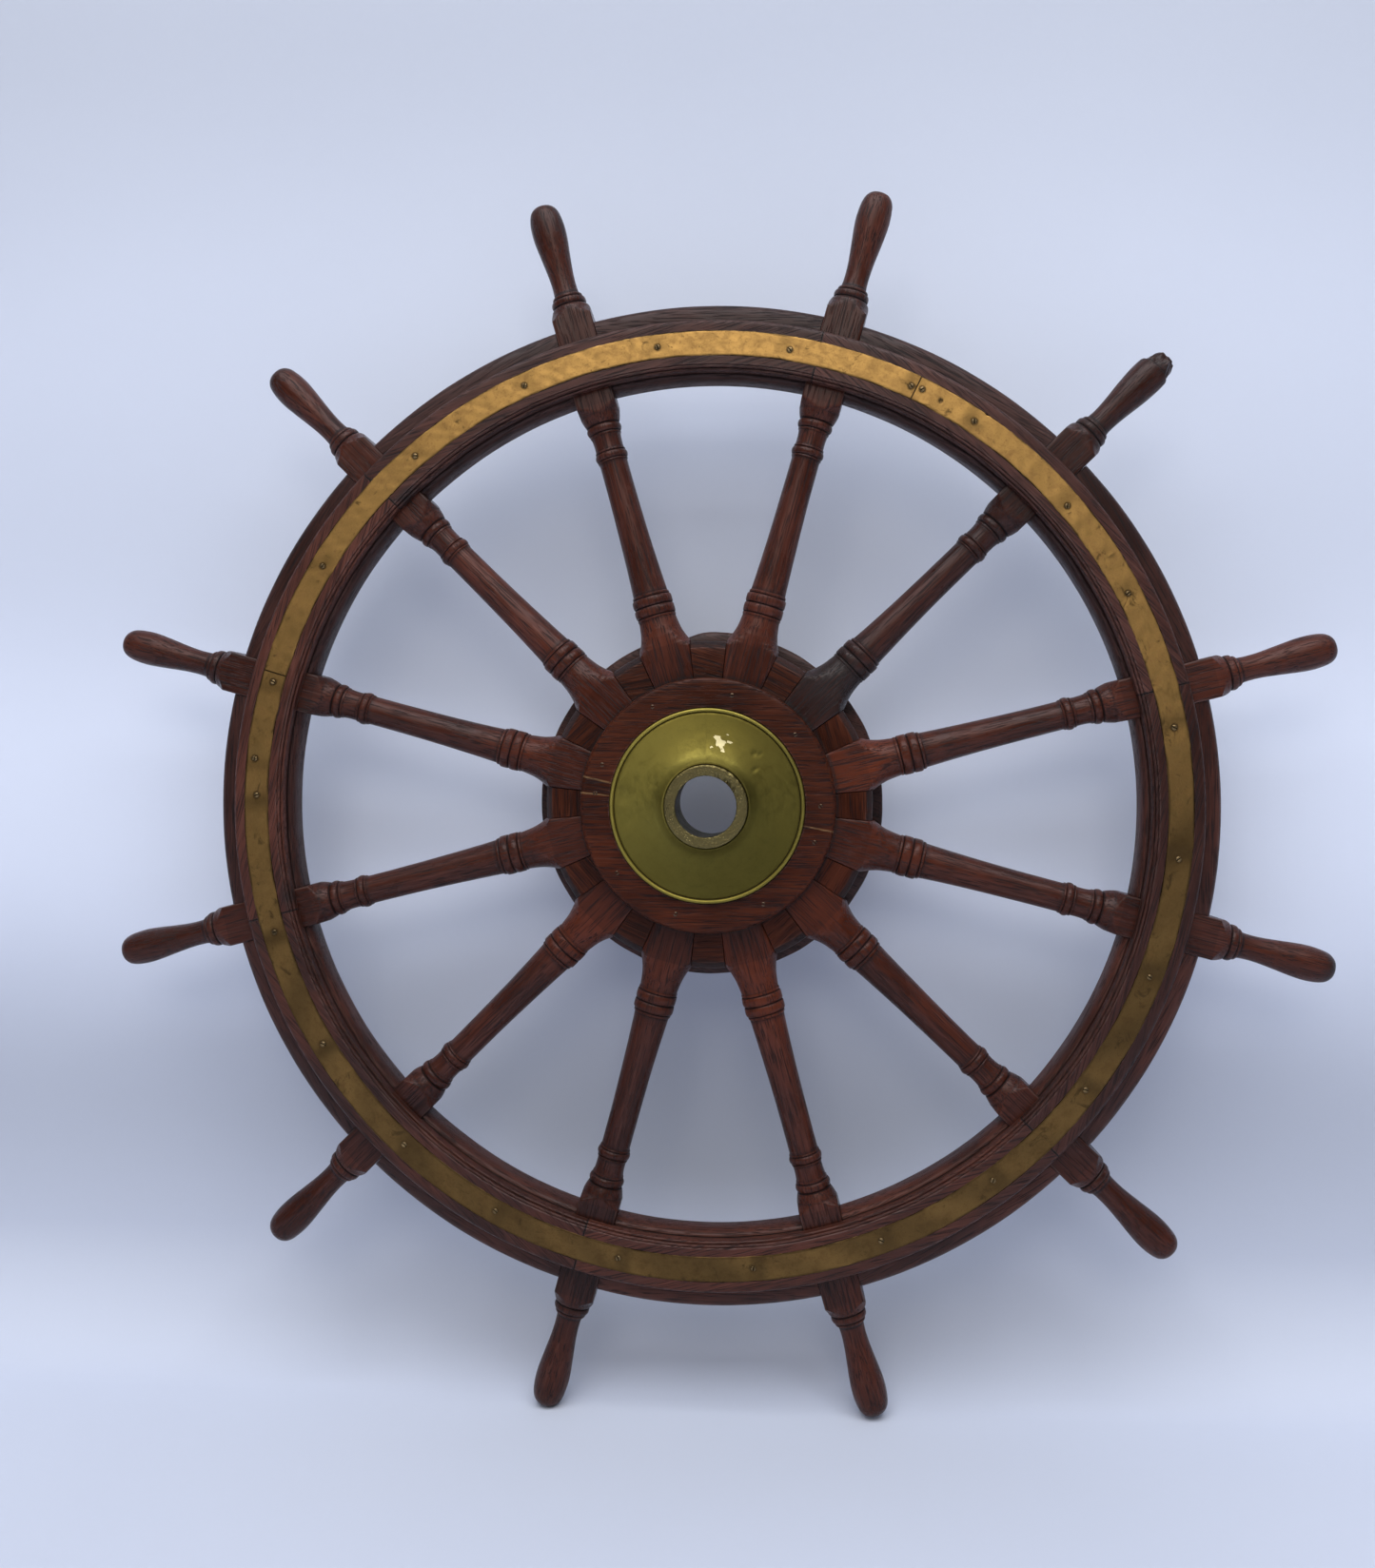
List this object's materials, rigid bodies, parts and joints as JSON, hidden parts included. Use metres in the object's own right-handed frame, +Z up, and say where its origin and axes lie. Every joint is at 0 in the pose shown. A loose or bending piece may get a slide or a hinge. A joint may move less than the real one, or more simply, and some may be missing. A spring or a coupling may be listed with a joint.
{
  "type": "ship steering wheel",
  "caption": "Large ship's steering wheel: turned wooden spokes running out into hand grips, a faced rim with an inlaid brass band, and a brass hub with an open shaft bore.",
  "frame": {"origin": "the wheel's centre, on its spin axis, midway through the spokes' thickness", "axes": "+Y is the spin axis pointing to the back of the wheel; the front faces -Y; +Z is up, midway between two handles"},
  "size_m": [1.474, 0.12, 1.474],
  "materials": {
    "spoke_wood": "dark red-brown mahogany, worn satin varnish",
    "rim_wood": "dark brown mahogany, worn satin varnish",
    "band_brass": "mottled aged sheet brass",
    "plate_brass": "smooth tarnished cast brass",
    "bush_bronze": "dull pitted bronze"
  },
  "bodies": {
    "root": {"spoke_01": "spoke_wood", "spoke_02": "spoke_wood", "spoke_03": "spoke_wood", "spoke_04": "spoke_wood", "spoke_05": "spoke_wood", "spoke_06": "spoke_wood", "spoke_07": "spoke_wood", "spoke_08": "spoke_wood", "spoke_09": "spoke_wood", "spoke_10": "spoke_wood", "spoke_11": "spoke_wood", "spoke_12": "spoke_wood", "felloe_01": "rim_wood", "felloe_02": "rim_wood", "felloe_03": "rim_wood", "felloe_04": "rim_wood", "felloe_05": "rim_wood", "felloe_06": "rim_wood", "felloe_07": "rim_wood", "felloe_08": "rim_wood", "felloe_09": "rim_wood", "felloe_10": "rim_wood", "felloe_11": "rim_wood", "felloe_12": "rim_wood", "front_facing_1": "rim_wood", "front_facing_2": "rim_wood", "front_facing_3": "rim_wood", "front_facing_4": "rim_wood", "front_facing_5": "rim_wood", "front_facing_6": "rim_wood", "rear_facing_1": "rim_wood", "rear_facing_2": "rim_wood", "rear_facing_3": "rim_wood", "rear_facing_4": "rim_wood", "rear_facing_5": "rim_wood", "rear_facing_6": "rim_wood", "rim_band_long": "band_brass", "rim_band_short": "band_brass", "nave_filler_01": "spoke_wood", "nave_filler_02": "spoke_wood", "nave_filler_03": "spoke_wood", "nave_filler_04": "spoke_wood", "nave_filler_05": "spoke_wood", "nave_filler_06": "spoke_wood", "nave_filler_07": "spoke_wood", "nave_filler_08": "spoke_wood", "nave_filler_09": "spoke_wood", "nave_filler_10": "spoke_wood", "nave_filler_11": "spoke_wood", "nave_filler_12": "spoke_wood", "front_nave_ring_lower": "spoke_wood", "front_nave_ring_upper": "spoke_wood", "rear_nave_disc": "rim_wood", "front_hub_plate": "plate_brass", "rear_hub_plate": "plate_brass", "shaft_bush": "bush_bronze"}
  },
  "joints": []
}
